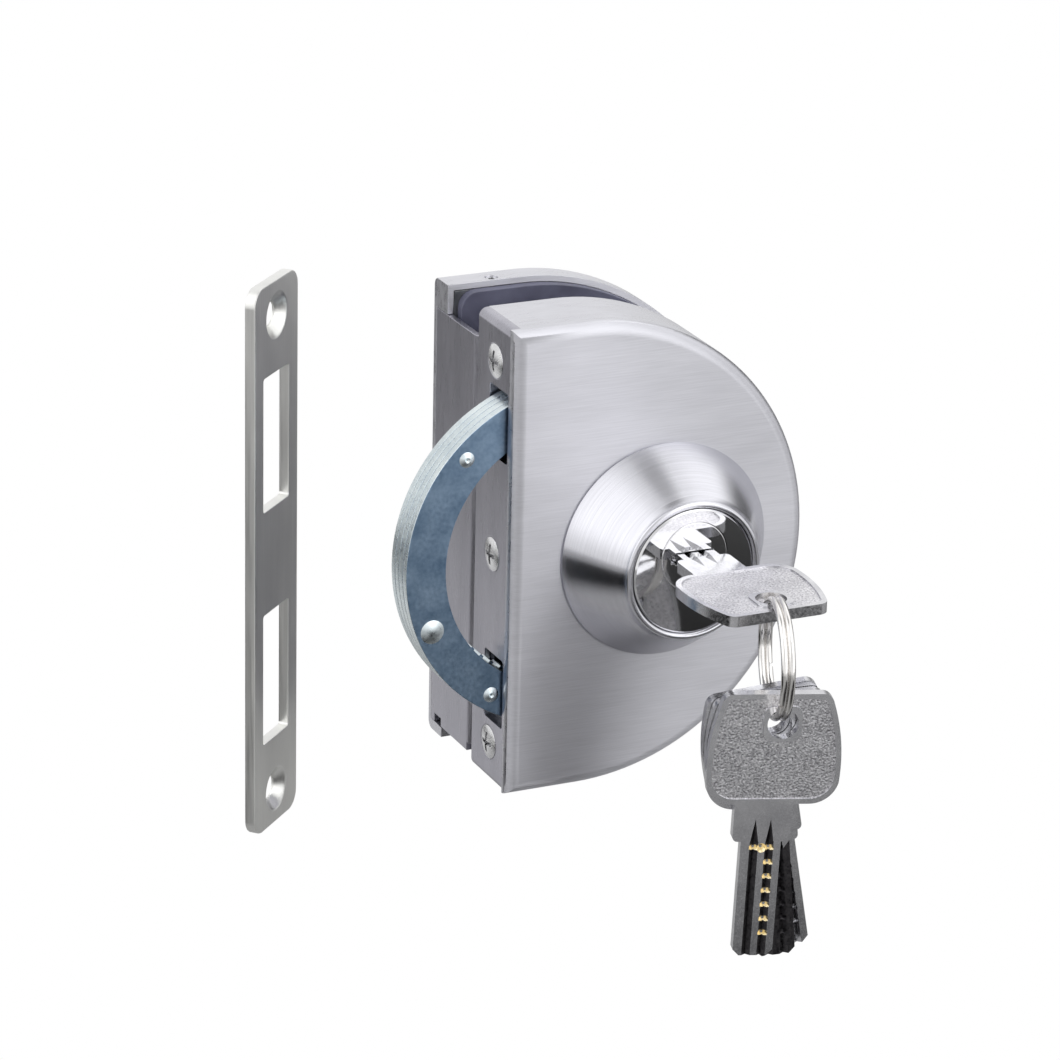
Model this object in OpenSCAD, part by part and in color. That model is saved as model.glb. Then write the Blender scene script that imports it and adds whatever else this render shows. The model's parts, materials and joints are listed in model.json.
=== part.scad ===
// Clamp-on lock for a frameless glass door: a D-shaped case of brushed steel
// on each side of the glass, a laminated ring bolt turned by a key cylinder
// through two gears, a strike plate, the key in the cylinder and three keys on
// a split ring.
// The frame's origin is the middle of the glass slot at the glass edge.
// X runs into the door leaf, -Y is the key side and Z is up.

/* [Overall] */
// Height of both cases
lock_h = 110; // [90:1:140]
// Width of both cases from the faceplate to the round end
lock_w = 73; // [66:1:90]
// Depth of the case on the key side
front_d = 20; // [20:0.5:26]
// Depth of the case on the far side
back_d = 7.5; // [7.5:0.5:14]
// Sheet thickness of the two covers
cover_t = 1.5; // [1.2:0.1:2]
// Outer edge radius of the front cover
cover_edge_r = 3; // [2:0.5:3]
// Outer edge radius of the back cover
back_edge_r = 2; // [1.6:0.2:3]

/* [Glass slot] */
// Thickness of the glass that is clamped
glass_t = 12; // [8:0.5:14]
// Thickness of each gasket
gasket_t = 2.5; // [1.5:0.5:3]
// Distance from the faceplate's outer face to the glass edge
glass_set = 12; // [12:0.5:16]
// Lower end of the edge channel below the middle
channel_low = 52.5; // [45:0.5:53]
// Upper end of the edge channel above the middle
channel_high = 48; // [40:0.5:50]
// Sheet thickness of the edge channel
channel_t = 1.5; // [1:0.1:2]
// Outer radius of the edge channel's bend
channel_bend = 2.6; // [2:0.1:4]
// Width of the edge channel's front flange
channel_flange = 9.6; // [9.2:0.1:10.4]
// Radius of the clamp screws
clamp_screw_r = 2.5; // [2:0.25:3]

/* [Faceplate] */
// Thickness of the faceplate
face_t = 2.5; // [2:0.25:3]
// Distance from the middle to each outer faceplate screw
face_screw_z = 45.5; // [44:0.5:47]
// Depth of the faceplate screws behind the front face
face_screw_y = 10.6; // [9:0.1:12]
// Head radius of the faceplate screws
face_head_r = 3.9; // [3.5:0.1:4.5]
// Inner end of the bolt slots from the middle
slot_in = 23.4; // [22:0.2:25]
// Outer end of the bolt slots from the middle
slot_out = 39.8; // [38.5:0.2:41]
// Radius of the faceplate screws
face_screw_r = 2; // [1.5:0.25:2.5]
// Length of the faceplate screws
face_screw_l = 10.5; // [8:0.5:10.5]
// Depth of the faceplate screws' heads
face_head_h = 1.9; // [1.5:0.1:2.1]

/* [Ring bolt] */
// Distance from the faceplate's outer face to the bolt's axis
bolt_set = 17; // [16:0.5:18]
// Outer radius of the ring bolt
bolt_r = 40.5; // [39:0.5:41]
// Inner radius of the two plain bolt plates
bolt_in_r = 31; // [30.8:0.1:32]
// Thickness of each of the four bolt plates
plate_t = 2.1; // [1.8:0.05:2.2]
// Angle below the horizontal at which the bolt's tip rests
tip_angle = 68.5; // [67:0.5:72]
// Angle above the horizontal at which the bolt's rear end rests
rear_angle = 122; // [112:1:124]
// Radius of the lower rivet head
rivet_big_r = 2.8; // [2:0.1:3]
// Radius of the other rivet heads
rivet_small_r = 1.8; // [1.4:0.1:2]

/* [Gears] */
// Gear module
gear_m = 1; // [1:0.1:1]
// Teeth of a full circle of the bolt's inner gear
bolt_teeth = 63; // [63:1:63]
// Teeth of the idler
idler_teeth = 22; // [22:1:22]
// Teeth of the drive gear on the plug
drive_teeth = 24; // [24:1:24]
// Thinning of every tooth for play
tooth_play = 0.1; // [0.06:0.01:0.2]

/* [Cylinder] */
// Distance from the faceplate's outer face to the cylinder's axis
cyl_set = 37.3; // [36:0.1:39]
// Radius of the cylinder head
cyl_r = 14.6; // [13:0.1:15]
// Height of the cylinder head in front of the cover
cyl_h = 15.7; // [14:0.1:22]
// Height of the plug's axis above the cylinder's axis
plug_up = 3.5; // [2.5:0.1:4]
// Radius of the plug
plug_r = 8.15; // [7.5:0.05:8.2]
// Radius of the cylinder's rear stem
stem_r = 9.4; // [9:0.1:9.5]
// Base radius of the rosette
rosette_r = 25.2; // [22:0.2:28]
// Outer radius of the rosette's lip
rosette_lip_r = 16.4; // [16:0.1:18]

/* [Keys] */
// Greatest width of the key bow
bow_w = 29.6; // [27:0.2:32]
// Width of the key bow at its far end
bow_end_w = 23; // [20:0.5:26]
// Length of the key bow
bow_l = 25.8; // [24:0.2:30]
// Thickness of the key
key_t = 2.5; // [2.2:0.1:2.6]
// Width of the key blade
blade_w = 8.9; // [8:0.1:9]
// Length of the key from the bow's end to the tip
key_l = 62; // [58:0.5:66]
// Radius of the hole in the bow
key_hole_r = 3.45; // [3.4:0.05:4]
// Sideways offset of the hole from the blade's axis
key_hole_off = 2.9; // [0:0.1:4]
// Width of the key's shank
shank_w = 12.8; // [11:0.2:14]
// Length of the key's shank
shank_l = 8.9; // [7:0.1:10]
// Middle radius of the split ring
split_r = 12.7; // [12.5:0.1:14]
// Radius of the split ring's wire
wire_r = 0.8; // [0.7:0.05:0.9]
// Turn of the split ring about the vertical
split_yaw = 16; // [0:1:20]

/* [Strike plate] */
// Height of the strike plate
strike_h = 129; // [120:1:140]
// Width of the strike plate
strike_w = 22; // [20:1:25]
// Thickness of the strike plate
strike_t = 2.6; // [2:0.1:3]
// Distance between the strike plate's screw holes
strike_pitch = 112.8; // [105:0.2:118]
// Radius of the strike plate's screw holes
strike_hole_r = 2.75; // [2.2:0.05:3]
// Height of each slot in the strike plate
strike_slot_h = 31; // [26:0.5:34]
// Width of each slot in the strike plate
strike_slot_w = 13; // [12:0.5:14]
// Distance between the middles of the two slots
strike_slot_pitch = 55.6; // [52:0.2:60]
// Turn of the strike plate about the vertical
strike_turn = 43; // [0:1:60]
// Distance from the faceplate to the middle of the strike plate
strike_away = 45.1; // [44:0.1:80]
// Depth of the middle of the strike plate behind the front cover
strike_depth = 27; // [10:0.5:30]
// Depth of the countersinks in the strike plate
strike_sink = 2.1; // [1.5:0.1:2.2]

/* [Hidden] */
$fn = 96;
eps = 0.01;
big = 300;
// side play of a piece that is set in beside another
set_gap = 0.1;
// radial play of a turning or sliding piece
run_gap = 0.05;
// radial play of the bolt in its round track
track_gap = 0.08;

// low dome of the faceplate screws' heads
face_dome = 0.7;
face_ball = (face_head_r * face_head_r + face_dome * face_dome) / 2 / face_dome;

arc_r = lock_h / 2;
face_x = -glass_set;
arc_x = face_x + lock_w - arc_r;
gap_y = glass_t / 2 + gasket_t;
gasket_corner = 4;
front_y = -gap_y - front_d;
case_y = -gap_y;
back_y = gap_y + back_d;
inner_x = face_x + face_t;
frame_inset = cover_t + set_gap;
lip_r = cover_edge_r;

// layers of the front case, from the front face inward
bolt_y = front_y + 4.2;
bolt_end_y = bolt_y + 4 * plate_t;
track_y = front_y + cover_t;
track_face_y = bolt_y - 0.15;
relief_y = track_face_y - 0.85;
boss_end_y = bolt_y + 2 * plate_t - 0.2;
step_y = bolt_end_y + 0.12;
floor_y = front_y + 15.4;
floor_end_y = front_y + 17.4;
slot_room = 0.8;
slot_d = 4 * plate_t + 2 * slot_room;
slot_y = (bolt_y + bolt_end_y) / 2;
gear_y = bolt_y + 2 * plate_t + 0.1;
drive_y = bolt_end_y + 0.25;
gear_end_y = floor_y - 0.35;

// bolt
bolt_x = face_x + bolt_set;
wall_r = bolt_r + track_gap;
wall_out_r = wall_r + 2.4;
hub_r = bolt_in_r - track_gap;
hub_left = -1;
bolt_a0 = 180 - rear_angle;
bolt_a1 = 180 + tip_angle;
bolt_travel = 360 * drive_teeth / bolt_teeth;
rivet_r = (bolt_r + bolt_in_r) / 2 + 1;
rivet_big_shank = 1.7;
rivet_small_shank = 1.15;
rivet_big_at = -22.2;
rivet_small_at = [44.3, 84, 112, -58];
dome_h = 0.5;

// gears
ring_pitch_r = bolt_teeth * gear_m / 2;
ring_tip_r = ring_pitch_r - gear_m;
idler_pitch_r = idler_teeth * gear_m / 2;
drive_pitch_r = drive_teeth * gear_m / 2;
plug_x = face_x + cyl_set;
plug_dist = sqrt(pow(plug_x - bolt_x, 2) + plug_up * plug_up);
plug_dir = atan2(plug_up, plug_x - bolt_x);
idler_dist = ring_pitch_r - idler_pitch_r;
mesh_dist = idler_pitch_r + drive_pitch_r;
idler_turn = acos((idler_dist * idler_dist + plug_dist * plug_dist - mesh_dist * mesh_dist)
    / (2 * idler_dist * plug_dist));
idler_dir = plug_dir + idler_turn;
idler_x = bolt_x + idler_dist * cos(idler_dir);
idler_z = idler_dist * sin(idler_dir);
to_drive = atan2(plug_up - idler_z, plug_x - idler_x);
idler_step = 360 / idler_teeth;
mesh_steps = (to_drive - idler_dir) / idler_step;
mesh_off = (round(mesh_steps) - mesh_steps) * idler_step;
drive_phase = to_drive + 180 - mesh_off * idler_teeth / drive_teeth + 180 / drive_teeth;
idler_post_r = 3;
drive_bore_r = 5.5;
clip_r = 7.2;
clip_mouth = 6.4;
drive_flat = 4.4;

// cylinder
head_y = front_y - cyl_h;
stem_end_y = bolt_end_y;
plug_bore_r = plug_r + run_gap;
keyway_w = blade_w + 0.3;
keyway_t = key_t + 0.3;
keyway_end_y = front_y + 9;
key_tip_y = keyway_end_y - 1;
clip_y = gear_end_y;
clip_t = 0.7;
neck_end_y = floor_end_y - 0.9;
neck_r = drive_bore_r - run_gap;
groove_r = 4.6;
pin_r = 1.3;
pin_count = 5;
pin_pitch = 3;
pin_first_y = head_y + 3.4;
pin_top_z = plug_up - plug_bore_r;
cap_t = 1.2;
driver_l = 3.2;
driver_z = pin_top_z - driver_l - 0.15;
spring_l = driver_z + cyl_r - cap_t - 0.6;
head_screw_xz = [[-7.4, -8], [4.6, -9.2]];
head_screw_r = 1.5;
head_screw_head_r = 2.5;

// case screws stand on a circle between the bolt's axis and the arc's centre
case_screw_mid = (bolt_x + arc_x) / 2;
case_screw_circle = arc_r - 6.7;
case_screw_at = [0, 47.5, -47.5, 90, -90];
case_screw_r = 1.5;
pillar_r = 3.4;
cover_boss_r = 2.8;

// clamp
clamp_x = face_x + 7.5;
clamp_z = [-34, 0, 34];
clamp_head_r = 4.6;
clamp_plate_t = 3.5;
channel_y1 = back_y - cover_t;
grub_x = arc_x - 6.5;
grub_y = gap_y + 2;
grub_r = 1.5;
grub_l = 5.4;
channel_screw_z = [-20, 20];
channel_screw_x = face_x + 6.6;
channel_screw_r = 1.25;

// keys: a key is drawn flat about the middle of its hole, blade toward +Y
hole_end = 7;
bow_off = 1.6;
bow_near = bow_l - hole_end;
bow_wide_y = 10;
bow_near_r = 6.4;
bow_far_r = 2.6;
bow_side_r = (pow(hole_end + bow_wide_y, 2) + pow((bow_w - bow_end_w) / 2, 2)) / (bow_w - bow_end_w);
rim_w = 1.2;
// far corners stand this proud of the side's arc, so that the two curves cross
corner_proud = 0.03;
field_sink = 0.3;
boss_w = 8.4;
boss_l = 8.2;
blade_start = bow_near + shank_l;
blade_end = key_l - hole_end;
tip_chamfer = 1.4;
groove_w = 1.9;
groove_sink = 0.75;
groove_at = [-1.9, 1.5];
runout_slope = 8;
dimple_r = 1.1;
dimple_sink = 1;
crown_first = 1.5;
dimple_first = 5;
dimple_pitch = 3.4;
dimple_rows = 6;
key_z = plug_up;
key_hole_x = plug_x + key_hole_off;
key_hole_y = key_tip_y - key_l + hole_end;
ring_reach = 7;
ring_drop = 10.03;
ring_aside = 0.3;
ring_x = key_hole_x + ring_aside - ring_reach * sin(split_yaw);
ring_y = key_hole_y - ring_reach * cos(split_yaw);
ring_z = key_z - ring_drop;
key_gap = 2.75;
coil_off = 0.78;
wire_play = 0.1;
slope_room = 0.05;
// sideways place and tilt of the front, middle and rear hanging key
hung_aside = [1.2, 0.3, -0.4];
hung_tilt = [2, -5, -9.5];
function hung_z(i) =
    let (out = abs(i - 1) * key_gap + key_t / 2)
    ring_z - sqrt(split_r * split_r - out * out) - slope_room
    - sqrt(pow(key_hole_r - wire_r - wire_play, 2) - pow(coil_off + abs(hung_aside[i]), 2));

// strike
strike_x = face_x - strike_away;
strike_y = front_y + strike_depth;
strike_corner_r = 4;
strike_head_r = 5.2;

// a flat shape in X and Z, made solid from y0 to y1
module slab(y0, y1) {
    translate([0, y1, 0])
        rotate([90, 0, 0])
            linear_extrude(y1 - y0)
                children();
}

// a flat shape in Y and Z, made solid from x0 to x1
module bar(x0, x1) {
    translate([x0, 0, 0])
        rotate([90, 0, 90])
            linear_extrude(x1 - x0)
                children();
}

// a profile of radius and Y, turned about an axis along Y
module turned(x, z) {
    translate([x, 0, z])
        rotate([-90, 0, 0])
            rotate_extrude()
                children();
}

module disc(x, z, r) {
    translate([x, z])
        circle(r);
}

// D outline, set in from the case's outline, from a left edge on
module d_shape(inset, left) {
    r = arc_r - inset;
    intersection() {
        union() {
            disc(arc_x, 0, r);
            translate([left, -r])
                square([arc_x - left, 2 * r]);
        }
        translate([left, -big / 2])
            square(big);
    }
}

// D-shaped block whose edge at y0 is rounded
module d_block(inset, left, y0, y1, edge) {
    r = arc_r - inset;
    intersection() {
        turned(arc_x, 0) {
            translate([0, y0 + edge])
                square([r, y1 - y0 - edge]);
            translate([0, y0])
                square([r - edge, edge + eps]);
            translate([r - edge, y0 + edge])
                circle(edge, $fn = 48);
        }
        translate([arc_x, y0 - eps, -big / 2])
            cube([big, y1 - y0 + eps, big]);
    }
    bar(left, arc_x)
        intersection() {
            union() {
                translate([y0 + edge, -r])
                    square([y1 - y0 - edge, 2 * r]);
                translate([y0, edge - r])
                    square([edge + eps, 2 * (r - edge)]);
                for (s = [-1, 1])
                    translate([y0 + edge, s * (r - edge)])
                        circle(edge, $fn = 48);
            }
            translate([y0 - eps, -big / 2])
                square([y1 - y0 + eps, big]);
        }
}

// rectangle with rounded corners about the middle
module round_rect(w, h, r) {
    square([w - 2 * r, h], center = true);
    square([w, h - 2 * r], center = true);
    for (x = [-1, 1])
        for (y = [-1, 1])
            translate([x * (w / 2 - r), y * (h / 2 - r)])
                circle(r, $fn = 48);
}

// pie slice that masks the ring bolt, from angle a0 to a1
module pie(a0, a1, r) {
    n = 12;
    polygon(concat([[0, 0]],
        [for (i = [0:n]) r * [cos(a0 + (a1 - a0) * i / n), sin(a0 + (a1 - a0) * i / n)]]));
}

function inv(a) = tan(a) - a * PI / 180;
function tooth_half(n, r, play) =
    let (pr = n * gear_m / 2, br = pr * cos(20), a = r > br ? acos(br / r) : 0)
    90 / n - play / 4 / pr * 180 / PI + (inv(20) - inv(a)) * 180 / PI;
function gear_points(n, root, tip, play, phase) = [
    for (k = [0:n - 1])
        for (s = [-1, 1])
            for (i = [0:4])
                let (r = root + (tip - root) * (s < 0 ? i : 4 - i) / 4,
                    a = phase + 360 * k / n + s * tooth_half(n, r, play))
                r * [cos(a), sin(a)]];

// spur gear outline
module gear_shape(n, play, phase) {
    pr = n * gear_m / 2;
    polygon(gear_points(n, pr - 1.25 * gear_m, pr + gear_m, play, phase));
}

// cross recess cut into a screw head that faces along -X
module cross_cut(w, depth) {
    for (a = [0, 90])
        rotate([a, 0, 0])
            translate([-depth, -w / 2, -0.45])
                cube([2 * depth, w, 0.9]);
}

module case_screw_places() {
    for (a = case_screw_at)
        translate([case_screw_mid + case_screw_circle * cos(a), 0, case_screw_circle * sin(a)])
            children();
}

module rod(y0, y1, r) {
    slab(y0, y1)
        circle(r, $fn = 48);
}

// flat head screw along Y with its head's face at y1 and its end at y0
module flat_screw(y0, y1, r, head_r) {
    rod(y0, y1 - eps, r);
    translate([0, y1, 0])
        rotate([90, 0, 0])
            cylinder(r1 = head_r, r2 = r, h = head_r - r, $fn = 48);
}

module front_cover() {
    color("silver")
        difference() {
            d_block(0, face_x, front_y, case_y, cover_edge_r);
            difference() {
                d_block(cover_t, face_x - 1, front_y + cover_t, case_y + 1, cover_edge_r - cover_t);
                case_screw_places()
                    rod(front_y, track_face_y - 0.6, cover_boss_r);
            }
            translate([face_x - 1, front_y + lip_r, -big / 2])
                cube([face_t + 1, big, big]);
            translate([0, 0, -big / 2])
                linear_extrude(big)
                    difference() {
                        translate([face_x - 1, front_y - 1])
                            square(lip_r + 1);
                        translate([face_x + lip_r, front_y + lip_r])
                            circle(lip_r, $fn = 48);
                    }
            slab(front_y - 1, track_y + 1)
                disc(plug_x, 0, cyl_r + set_gap);
            case_screw_places()
                rod(front_y + cover_t + 0.3, case_y, case_screw_r);
        }
}

module faceplate() {
    color("gray")
        difference() {
            slab(front_y + lip_r, case_y)
                intersection() {
                    translate([face_x + face_t, 0])
                        round_rect(2 * face_t, lock_h, 2);
                    translate([face_x, -arc_r])
                        square([face_t, lock_h]);
                }
            for (s = [-1, 1])
                translate([face_x, slot_y, s * (slot_in + slot_out) / 2])
                    rotate([0, 90, 0])
                        translate([0, 0, -1])
                            linear_extrude(face_t + 2)
                                round_rect(slot_out - slot_in, slot_d, 0.8);
            for (s = [-1, 0, 1])
                translate([face_x, front_y + face_screw_y, s * face_screw_z])
                    rotate([0, 90, 0]) {
                        translate([0, 0, -eps])
                            cylinder(r1 = face_head_r + 0.15, r2 = face_head_r + 0.15 - face_head_h,
                                h = face_head_h);
                        cylinder(r = face_screw_r + 0.15, h = 10);
                    }
        }
}

module faceplate_screws() {
    color("silver")
        for (s = [-1, 0, 1])
            translate([face_x, front_y + face_screw_y, s * face_screw_z])
                difference() {
                    union() {
                        translate([0.08, 0, 0])
                            rotate([0, 90, 0])
                                cylinder(r1 = face_head_r, r2 = face_head_r - face_head_h,
                                    h = face_head_h);
                        rotate([0, 90, 0])
                            cylinder(r = face_screw_r, h = face_screw_l);
                        rotate([0, -90, 0])
                            rotate_extrude()
                                intersection() {
                                    translate([0, face_dome - face_ball])
                                        circle(face_ball);
                                    translate([0, -0.08])
                                        square([face_head_r, 1]);
                                }
                    }
                    translate([-face_dome, 0, 0])
                        cross_cut(1.2 * face_head_r, 1.7);
                }
}

module track_plate() {
    color("lightgray")
        difference() {
            union() {
                d_block(frame_inset, inner_x, track_y, track_face_y, cover_edge_r - cover_t);
                slab(track_face_y - eps, boss_end_y)
                    difference() {
                        disc(bolt_x, 0, hub_r);
                        translate([hub_left - big, -big / 2])
                            square(big);
                    }
            }
            slab(relief_y, track_face_y + eps)
                difference() {
                    disc(bolt_x, 0, bolt_r - 0.6);
                    disc(bolt_x, 0, hub_r + 1.6);
                }
            slab(track_y - 1, boss_end_y + 1) {
                disc(plug_x, plug_up, stem_r + run_gap);
                for (p = head_screw_xz)
                    disc(plug_x + p[0], p[1], head_screw_r);
                disc(idler_x, idler_z, idler_post_r);
            }
            case_screw_places()
                rod(track_y - 1, track_face_y + 1, cover_boss_r + set_gap);
        }
}

module lock_frame() {
    color("darkgray")
        difference() {
            union() {
                slab(floor_y, floor_end_y)
                    d_shape(frame_inset, inner_x);
                slab(track_face_y, floor_y + eps)
                    difference() {
                        intersection() {
                            union() {
                                disc(bolt_x, 0, wall_out_r);
                                for (s = [-1, 1])
                                    translate([inner_x, s * (face_screw_z + 1.7) - 5.6])
                                        square([13, 11.2]);
                                for (a = case_screw_at)
                                    disc(case_screw_mid + case_screw_circle * cos(a),
                                        case_screw_circle * sin(a), pillar_r);
                            }
                            d_shape(frame_inset, inner_x);
                        }
                        disc(bolt_x, 0, wall_r);
                    }
                slab(step_y, floor_y + eps)
                    intersection() {
                        difference() {
                            disc(bolt_x, 0, wall_r + eps);
                            disc(bolt_x, 0, hub_r + 3.4);
                        }
                        d_shape(frame_inset, inner_x);
                    }
                slab(track_face_y, floor_y + eps)
                    intersection() {
                        difference() {
                            disc(bolt_x, 0, wall_r + eps);
                            disc(bolt_x, 0, bolt_in_r + 0.6);
                        }
                        translate([bolt_x, 0])
                            pie(bolt_a1 + 0.25 - 360, bolt_a0 - bolt_travel - 0.25, 60);
                    }
                slab(track_face_y, floor_y + eps)
                    translate([inner_x, -6])
                        square([hub_left - set_gap - inner_x, 12]);
            }
            for (s = [-1, 0, 1])
                translate([inner_x, front_y + face_screw_y, s * face_screw_z])
                    rotate([0, 90, 0])
                        translate([0, 0, -1])
                            cylinder(r = face_screw_r, h = face_screw_l, $fn = 48);
            case_screw_places()
                rod(track_y, case_y, case_screw_r + set_gap);
            translate([plug_x, 0, plug_up])
                rod(floor_y - 1, case_y, clip_r + 0.6);
            translate([idler_x, 0, idler_z])
                rod(floor_y - 1, case_y, idler_post_r);
        }
}

module back_plate() {
    color("gray")
        difference() {
            slab(floor_end_y, case_y)
                d_shape(frame_inset, inner_x);
            case_screw_places() {
                rod(floor_end_y - 1, case_y + 1, case_screw_r + set_gap);
                translate([0, case_y + eps, 0])
                    rotate([90, 0, 0])
                        cylinder(r1 = 2.9, r2 = 1.5, h = 1.4, $fn = 48);
            }
            for (z = clamp_z)
                translate([clamp_x, 0, z])
                    rod(floor_end_y - 1, case_y + 1, clamp_screw_r);
            for (z = channel_screw_z)
                translate([channel_screw_x, 0, z])
                    rod(floor_end_y - 1, case_y + 1, channel_screw_r);
        }
}

module case_screws() {
    color("silver")
        case_screw_places()
            difference() {
                flat_screw(front_y + cover_t + 0.6, case_y, case_screw_r, 2.85);
                for (a = [0, 90])
                    rotate([0, a, 0])
                        translate([-1.6, case_y - 0.9, -0.35])
                            cube([3.2, 2, 0.7]);
            }
}

module rosette() {
    lip = rosette_lip_r;
    mouth = cyl_r + set_gap;
    color("silver") {
        turned(plug_x, 0)
            difference() {
                polygon([[mouth, front_y], [rosette_r - 0.5, front_y], [rosette_r, front_y - 0.6],
                    [rosette_r - 1.2, front_y - 2.6], [rosette_r - 3, front_y - 5.4],
                    [lip + 2.9, head_y + 5.2], [lip + 0.9, head_y + 2.2],
                    [lip + 0.05, head_y + 0.8], [mouth, head_y + 0.8]]);
                translate([mouth + 2.2, front_y - 4.5])
                    square([rosette_r - mouth - 6.4, 20]);
            }
        turned(plug_x, 0)
            translate([(mouth + lip) / 2, head_y + 0.8])
                circle((lip - mouth) / 2 - eps, $fn = 32);
    }
}

module cylinder_body() {
    color("gainsboro")
        difference() {
            union() {
                turned(plug_x, 0)
                    polygon([[0, head_y], [cyl_r - 0.4, head_y], [cyl_r, head_y + 0.4],
                        [cyl_r, track_y], [0, track_y]]);
                translate([plug_x, 0, plug_up])
                    rod(track_y - eps, stem_end_y, stem_r);
            }
            translate([plug_x, 0, plug_up])
                rod(head_y - 1, stem_end_y + 1, plug_bore_r);
            for (p = head_screw_xz)
                translate([plug_x + p[0], 0, p[1]])
                    rod(track_y - 8, track_y + 1, head_screw_r);
            for (i = [0:pin_count - 1])
                translate([plug_x, pin_first_y + i * pin_pitch, 0])
                    rotate([180, 0, 0])
                        cylinder(r = pin_r + run_gap, h = cyl_r - cap_t - 0.6, $fn = 32);
            translate([plug_x - pin_r - 1, pin_first_y - 2.2, -cyl_r])
                cube([2 * pin_r + 2, (pin_count - 1) * pin_pitch + 4.4, cap_t + 0.6]);
        }
}

module cylinder_screws() {
    color("silver")
        for (p = head_screw_xz)
            translate([plug_x + p[0], 0, p[1]])
                difference() {
                    union() {
                        rod(track_y - 7, boss_end_y + eps, head_screw_r);
                        rod(boss_end_y, boss_end_y + 1.5, head_screw_head_r);
                    }
                    for (a = [0, 90])
                        rotate([0, a, 0])
                            translate([-1.4, boss_end_y + 0.6, -0.35])
                                cube([2.8, 2, 0.7]);
                }
}

module pin_row() {
    for (i = [0:pin_count - 1])
        translate([plug_x, pin_first_y + i * pin_pitch, 0])
            children();
}

module driver_pins() {
    color("goldenrod")
        pin_row()
            translate([0, 0, driver_z])
                cylinder(r = pin_r, h = driver_l, $fn = 32);
}

// coil of round wire that stands on z = 0
module coil_spring(r, wire, height, turns) {
    sides = 6;
    steps = 10 * turns;
    rise = height - 2 * wire;
    points = [for (i = [0:steps])
        for (k = [0:sides - 1])
            let (a = 36 * i, b = 360 * k / sides, reach = r + wire * cos(b))
            [reach * cos(a), reach * sin(a), wire + rise * i / steps + wire * sin(b)]];
    faces = concat(
        [[for (k = [sides - 1:-1:0]) k], [for (k = [0:sides - 1]) steps * sides + k]],
        [for (i = [0:steps - 1])
            for (k = [0:sides - 1])
                let (j = (k + 1) % sides)
                [i * sides + k, i * sides + j, (i + 1) * sides + j, (i + 1) * sides + k]]);
    polyhedron(points, faces);
}

module pin_springs() {
    color("silver")
        pin_row()
            translate([0, 0, cap_t + 0.6 - cyl_r])
                coil_spring(pin_r - 0.25, 0.2, spring_l, 4);
}

module spring_cap() {
    color("silver")
        intersection() {
            translate([plug_x - pin_r - 0.9, pin_first_y - 2.1, -cyl_r])
                cube([2 * pin_r + 1.8, (pin_count - 1) * pin_pitch + 4.2, cap_t + 0.6]);
            translate([plug_x, 0, 0])
                rod(head_y, track_y, cyl_r);
        }
}

module plug() {
    color("gainsboro")
        difference() {
            translate([plug_x, 0, plug_up]) {
                turned(0, 0)
                    polygon([[0, head_y], [plug_r - 0.25, head_y], [plug_r, head_y + 0.25],
                        [plug_r, stem_end_y + 0.15], [neck_r, stem_end_y + 0.15],
                        [neck_r, clip_y + 0.05], [groove_r, clip_y + 0.05],
                        [groove_r, clip_y + clip_t + 0.05], [neck_r, clip_y + clip_t + 0.05],
                        [neck_r, neck_end_y], [0, neck_end_y]]);
            }
            for (s = [-1, 1])
                translate([plug_x - plug_r, stem_end_y + 0.15,
                    plug_up + s * (drive_flat + plug_r / 2 - run_gap) - plug_r / 2])
                    cube([2 * plug_r, big, plug_r]);
            translate([plug_x - keyway_w / 2, head_y - 1, plug_up - keyway_t / 2])
                cube([keyway_w, keyway_end_y - head_y + 1, keyway_t]);
            translate([plug_x - keyway_w / 2 - 1.1, head_y - 1, plug_up - 1])
                cube([2, 4, 2.2]);
            pin_row()
                translate([0, 0, plug_up])
                    rotate([180, 0, 0])
                        cylinder(r = pin_r + run_gap, h = 12, $fn = 32);
        }
}

module key_pins() {
    top = plug_up - key_t / 2 - 0.12;
    color("goldenrod")
        pin_row()
            intersection() {
                translate([0, 0, pin_top_z - 1])
                    cylinder(r = pin_r, h = top - pin_top_z + 1, $fn = 32);
                translate([0, 0, plug_up])
                    rod(-big, big, plug_r);
            }
}

module drive_gear() {
    color("tan")
        translate([plug_x, 0, plug_up])
            slab(drive_y, gear_end_y)
                difference() {
                    gear_shape(drive_teeth, tooth_play, drive_phase);
                    intersection() {
                        circle(drive_bore_r);
                        square([20, 2 * drive_flat], center = true);
                    }
                }
}

module plug_clip() {
    color("silver")
        translate([plug_x, 0, plug_up])
            slab(clip_y + 0.08, clip_y + clip_t)
                difference() {
                    circle(clip_r);
                    circle(groove_r + run_gap);
                    translate([0, -clip_mouth / 2])
                        square([2 * clip_r, clip_mouth]);
                }
}

module idler_post() {
    color("silver")
        translate([idler_x, 0, idler_z])
            rod(track_face_y + 0.4, floor_end_y, idler_post_r);
}

module idler_gear() {
    color("tan")
        translate([idler_x, 0, idler_z])
            slab(gear_y, gear_end_y)
                difference() {
                    gear_shape(idler_teeth, tooth_play, idler_dir);
                    circle(idler_post_r + run_gap);
                }
}

module bolt_shape(inner) {
    difference() {
        intersection() {
            difference() {
                disc(bolt_x, 0, bolt_r);
                disc(bolt_x, 0, inner);
            }
            translate([bolt_x, 0])
                pie(bolt_a0, bolt_a1, 60);
        }
        bolt_rivet_holes();
    }
}

module rivet_place(at) {
    translate([bolt_x - rivet_r * cos(at), rivet_r * sin(at)])
        children();
}

module bolt_rivet_holes() {
    rivet_place(rivet_big_at)
        circle(rivet_big_shank, $fn = 48);
    for (a = rivet_small_at)
        rivet_place(a)
            circle(rivet_small_shank, $fn = 48);
}

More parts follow.
